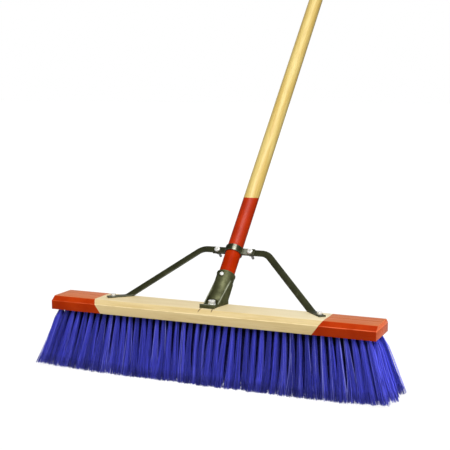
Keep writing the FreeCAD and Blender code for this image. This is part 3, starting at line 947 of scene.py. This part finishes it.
def tuft_habit(rng, row, x, fan):
    """How one tuft stands and opens: its two leans, its spread, burst and widening, and its tone.

    Neighbours lean together, by a slow and a quick wave along the row. spread is how many times wider than
    its hole a tuft is at its tips, burst how much of that comes at once, and widening the power by which
    the rest follows. Tufts to the left are bushier, and the ones that fan out to the right get painted light.
    """
    outer = abs(row) == 2
    calm = 0.2 + 0.8 * min(1.0, (LAST_TUFT - abs(x)) / CALM_ENDS)
    group = math.sin(x * 0.021 + row * 1.3) + 0.8 * math.sin(x * 0.057 + row * 2.1 + 1.0)
    lean = math.radians(rng.normal(0.0, TUFT_LEAN) + GROUP_LEAN * group) * calm
    lean_y = math.radians(rng.normal(0.0, TUFT_LEAN_Y))
    bushy = min(1.0, max(0.0, (-x - 40.0) / 120.0))
    spread = rng.uniform(*SPREAD) + 1.1 * fan - 0.7 * fan**3 + (0.2 * bushy if outer else 0.7)
    burst = (0.15 if outer else 0.95) + 0.55 * fan**3
    widening = 2.6 - 0.8 * bushy if outer else 1.2
    # painted light: tufts fanning out to the right are paler
    tone = rng.uniform(*TUFT_TONE) + (0.35 * fan**3 if x > 0 else 0.0)
    return lean, lean_y, spread, burst, widening, tone


def tuft_lines(rng, row, root, down, tip, fan):
    """One tuft's filaments and tones. A filament is the places of its joints, from the hole to its cut tip.

    Every filament starts in the hole, leaves it in a burst, and opens up, bows and strays on its way down.
    fan is 0 in the middle of the block and 1 at the tufts that lean out most.
    """
    lean, lean_y, spread, burst, widening, tuft_tone = tuft_habit(rng, row, root[0], fan)

    # places in the hole, on two axes square to the tuft
    side_a = np.array((1.0, 0.0, 0.0)) - down * down[0]
    side_a /= np.linalg.norm(side_a)
    side_b = np.cross(down, side_a)
    place = np.arange(FILAMENTS) + 0.5
    turn = place * GOLDEN_TURN + rng.uniform(0, 6.28)
    radius = np.sqrt(place / FILAMENTS) * (HOLE_R - HOLE_WALL_GAP) * rng.uniform(0.92, 1.06, FILAMENTS)
    a, b = radius * np.cos(turn), radius * np.sin(turn)
    reach = (root[2] - tip) / -down[2]
    cut = tip + np.abs(rng.normal(0.0, CUT_SPREAD, FILAMENTS)) + CUT_GAP

    # what each bunch and each filament does on its own
    bunch = (np.mod(turn, 2 * math.pi) * BUNCHES / (2 * math.pi)).astype(int)
    bunch_tone = rng.normal(0.0, BUNCH_TONE, BUNCHES)[bunch]
    bunch_a, bunch_b = [rng.normal(0.0, drift, BUNCHES)[bunch] for drift in BUNCH_DRIFT]
    bow_a = rng.normal(0.0, FILAMENT_BOW[0], FILAMENTS) + rng.normal(0.0, TUFT_BOW[0])
    bow_b = rng.normal(0.0, FILAMENT_BOW[1], FILAMENTS) + rng.normal(0.0, TUFT_BOW[1])
    stray = np.where(rng.random(FILAMENTS) < STRAY_SHARE, rng.normal(0.0, STRAY_REACH, FILAMENTS), 0.0)
    grow = spread * rng.uniform(0.85, 1.2, FILAMENTS)

    # from the hole to the tips, each joint on a level between the block's underside and the cut
    joints = [root - down * (HOLE_DEPTH - HOLE_END_GAP) + np.outer(a, side_a) + np.outer(b, side_b)]
    for j in range(JOINTS):
        s = j / (JOINTS - 1)
        open_up = 1 + burst * (1 - math.exp(-BURST_RATE * s)) + (grow - 1 - burst) * s**widening
        bend = 0.6 * math.sin(math.pi * s)
        off_a = a * open_up * (1 + 0.12 * s) + bow_a * bend + bunch_a * s**1.3 + stray * s**2
        off_b = b * open_up + bow_b * bend + bunch_b * s**1.3
        off_a = off_a + math.tan(lean) * reach * s**1.15
        off_b = off_b + math.tan(lean_y) * reach * s**1.15
        spot = root + np.outer(off_a, side_a) + np.outer(off_b, side_b)
        level = root[2] + (cut - root[2]) * s
        joints.append(spot + np.outer((spot[:, 2] - level) / -down[2], down))

    tones = np.clip(tuft_tone + bunch_tone + rng.normal(0.0, FILAMENT_TONE, FILAMENTS), 0.0, PALEST_TONE)
    # painted highlight: a few filaments, more in the right-hand fan, get the palest tone
    highlight_share = HIGHLIGHT_SHARE * (1 - fan) + (HIGHLIGHT_IN_FAN * fan * (1 - fan) if root[0] > 0 else 0.0)
    tones = np.where(rng.random(FILAMENTS) < highlight_share, HIGHLIGHT_TONE, tones)
    return np.stack(joints, axis=1), tones


def tuft_shade(row, x):
    """How much painted shade a tuft gets at each joint: inner rows sit in the others' shade, less so at the
    two ends, and every tuft is darker just under the block.
    """
    inside = min(1.0, max(0.0, (LIT_END - abs(x)) / LIT_OVER))
    depth = ROW_DEPTH[abs(row)] * inside
    steps = np.linspace(0.0, 1.0, JOINTS + 1)
    return depth * (1 - 0.14 * steps**2) + 0.35 * np.clip(1 - steps * 3.5, 0, 1) * inside


def filament_mesh(name, lines, spin):
    """Thin rods along the filaments' joints, each turned by its own spin and closed at both ends."""
    count, joints = lines.shape[:2]
    sides = FILAMENT_SIDES
    verts = np.zeros((count, joints, sides, 3))
    for k in range(sides):
        angle = spin + 2 * math.pi * k / sides
        out = np.stack((np.cos(angle), np.sin(angle), np.zeros(count)), axis=1) * FILAMENT_R
        verts[:, :, k, :] = lines + out[:, None, :]
    rod = (np.arange(count) * joints * sides)[:, None]
    low = rod[:, :, None] + (np.arange(joints - 1) * sides)[None, :, None]
    k = np.arange(sides)[None, None, :]
    after = (k + 1) % sides
    quads = np.stack((low + k, low + sides + k, low + sides + after, low + after), axis=-1).reshape(-1, 4)
    tips = rod + (joints - 1) * sides + np.arange(sides)[::-1]
    heads = rod + np.arange(sides)
    mesh = bpy.data.meshes.new(name)
    flat = (verts.reshape(-1, 3) * MM).astype(np.float32)
    mesh.vertices.add(len(flat))
    mesh.vertices.foreach_set("co", flat.ravel())
    loops = np.concatenate((quads.ravel(), tips.ravel(), heads.ravel())).astype(np.int32)
    mesh.loops.add(len(loops))
    mesh.loops.foreach_set("vertex_index", loops)
    sizes = np.concatenate((np.full(len(quads), 4), np.full(2 * count, sides))).astype(np.int32)
    first = np.concatenate(([0], np.cumsum(sizes)[:-1])).astype(np.int32)
    mesh.polygons.add(len(sizes))
    mesh.polygons.foreach_set("loop_start", first)
    mesh.update(calc_edges=True)
    mesh.validate()
    return mesh


def make_row(index, places, material):
    """One row of tufts, every filament a thin bent rod folded up into its hole."""
    rng = np.random.default_rng(FIRST_SEED + index)
    row = index - 2
    lines, tones, shades = [], [], []
    for root, down, tip in places:
        root, down = np.array(root), np.array(down)
        fan = max(0.0, (abs(root[0]) - FLARE_START) / (LAST_TUFT - FLARE_START))
        tuft, tuft_tones = tuft_lines(rng, row, root, down, tip, fan)
        lines.append(tuft)
        tones.append(tuft_tones)
        shades.append(np.tile(tuft_shade(row, root[0]), FILAMENTS))
    lines = np.concatenate(lines)
    spin = rng.uniform(0, 6.28, len(lines))
    name = "bristles_" + ROW_NAMES[index]
    mesh = filament_mesh(name, lines, spin)
    mark(mesh, "tone", np.repeat(np.concatenate(tones), (JOINTS + 1) * FILAMENT_SIDES))
    mark(mesh, "shade", np.repeat(np.concatenate(shades), FILAMENT_SIDES))
    finish_mesh(mesh, material)
    new_piece(name, mesh, "bristle", "tuft_row_" + ROW_NAMES[index])


# ---------------------------------------------------------------- fasteners

def dress(node, material, bevel=0.25):
    """A carried-over frame node gets its finish and softly broken edges."""
    piece = NODES[node]
    finish_mesh(piece.data, material)
    weld = piece.modifiers.new("weld", "WELD")
    weld.merge_threshold = WELD
    if bevel:
        soft = piece.modifiers.new("edge", "BEVEL")
        soft.width = bevel * MM
        soft.segments = 2
        soft.limit_method = "ANGLE"
        soft.angle_limit = math.radians(28)
        soft.harden_normals = True


# ---------------------------------------------------------------- stage

def make_floor():
    """A plain pale floor: white to the camera, calmer as a light, and more so to both sides."""
    corners = [(x * FLOOR_HALF, y * FLOOR_HALF, 0.0) for x, y in ((-1, -1), (1, -1), (1, 1), (-1, 1))]
    mesh = mesh_from("floor", corners, [(0, 1, 2, 3)])
    floor = add_object("floor", mesh)
    g = material_graph("pale_floor")
    tone = g.mix(g.band(g.noise(60.0, 2.0), 0.3, 0.7), (0.09, 0.09, 0.09), (0.11, 0.11, 0.11))
    seen = g.principled(Base_Color=tone, Roughness=0.9, Specular_IOR_Level=0.0,
                        Emission_Color=(1.0, 1.0, 1.0), Emission_Strength=FLOOR_SEEN)
    lit = g.node("ShaderNodeEmission")
    aside = g.size(g.reach(ASIDE))
    g.feed(lit.inputs["Strength"], g.band(aside, 0.25, 1.1, FLOOR_LIGHT, FLOOR_LIGHT * FLOOR_ASIDE))
    mesh.materials.append(g.light_and_show(lit.outputs[0], seen))


def make_world():
    """A white studio: as a light it is dimmer to both sides and behind, and brighter above."""
    g = Graph(bpy.data.worlds.new("studio"), "ShaderNodeOutputWorld", "Generated")
    flank = Vector((ASIDE[0], ASIDE[1], ASIDE_DIP)).normalized()
    sides = g.band(g.size(g.reach(tuple(flank))), 0.12, 0.7, SKY_LIGHT, SKY_LIGHT * ENDS_LIGHT)
    rear = g.band(g.reach(AHEAD), -0.8, 0.0, BACK_LIGHT, 1.0)
    overhead = g.band(g.reach(tuple(UP)), 0.3, 0.95, 1.0, ZENITH_LIGHT)
    light = g.node("ShaderNodeBackground")
    seen = g.node("ShaderNodeBackground")
    for back, strength in ((light, g.times(g.times(sides, rear), overhead)), (seen, 1.0)):
        g.feed(back.inputs["Color"], (1.0, 1.0, 1.0))
        g.feed(back.inputs["Strength"], strength)
    bpy.context.scene.world = g.light_and_show(light.outputs[0], seen.outputs[0])


def aim(lamp, towards):
    """Turn a lamp so that it shines back along a direction."""
    lamp.rotation_euler = towards.to_track_quat("Z", "Y").to_euler()


def softbox(name, azimuth, height, power, spread):
    """A broad distant light, by where it stands: azimuth turns from straight in front towards +X."""
    data = bpy.data.lights.new(name, "SUN")
    data.energy = power
    data.angle = math.radians(spread)
    light = add_object(name, data)
    a, h = math.radians(azimuth), math.radians(height)
    towards = Vector((math.sin(a) * math.cos(h), -math.cos(a) * math.cos(h), math.sin(h)))
    light.location = towards * 3.0
    aim(light, towards)
    return light


def end_light():
    """A small low lamp that only reaches the right-hand end of the brush, without a highlight."""
    data = bpy.data.lights.new("end_lamp", "SPOT")
    data.energy = END_LAMP
    data.spot_size = math.radians(END_LAMP_CONE)
    data.spot_blend = 0.8
    data.shadow_soft_size = 0.05
    lamp = add_object("end_lamp", data)
    lamp.visible_glossy = False
    lamp.location = END_LAMP_PLACE
    aim(lamp, END_LAMP_PLACE - END_LAMP_TARGET)


def make_camera():
    data = bpy.data.cameras.new("camera")
    data.lens = LENS
    data.sensor_width = SENSOR
    data.clip_end = 100.0
    camera = add_object("camera", data)
    camera.location = CAMERA_PLACE
    camera.rotation_euler = (math.radians(CAMERA_TILT), 0.0, math.radians(CAMERA_TURN))
    bpy.context.scene.camera = camera


def main():
    """Every piece with its material, then the stage."""
    socket_steel = steel_material("dark_steel_bracket", (0.050, 0.053, 0.018), (0.105, 0.110, 0.046),
                                  (0.36, 0.38, 0.27), 0.60, 0.46)
    brace_steel = steel_material("dark_steel_brace", (0.020, 0.022, 0.006), (0.044, 0.047, 0.017),
                                 (0.36, 0.37, 0.29), 0.46, 0.34)
    zinc = zinc_material()
    bristle = bristle_material()
    make_block(block_material())
    make_pole(pole_material())
    make_arm("brace_left", -1, CLAMP_GAP / 2, True, brace_steel, "brace_arm_left")
    make_arm("brace_right", 1, -CLAMP_GAP / 2 - STRIP, False, brace_steel, "brace_arm_right")
    make_bracket(socket_steel)
    for index, places in enumerate(tuft_places()):
        make_row(index, places, bristle)
    for node in ("handle_lock_screw", "bracket_screw", "brace_screw_left", "brace_screw_right",
                 "clamp_bolt_left", "clamp_bolt_right", "clamp_nut_left", "clamp_nut_right"):
        dress(node, zinc)
    dress("bracket_washer", zinc, 0.3)
    dress("tuft_staples", zinc, 0.0)
    make_floor()
    make_world()
    softbox("key", *KEY_LIGHT)
    softbox("rear", *REAR_LIGHT).visible_glossy = False
    end_light()
    make_camera()
    view = bpy.context.scene.view_settings
    view.view_transform = "Standard"
    view.look = "None"
    view.exposure = 0.0


main()
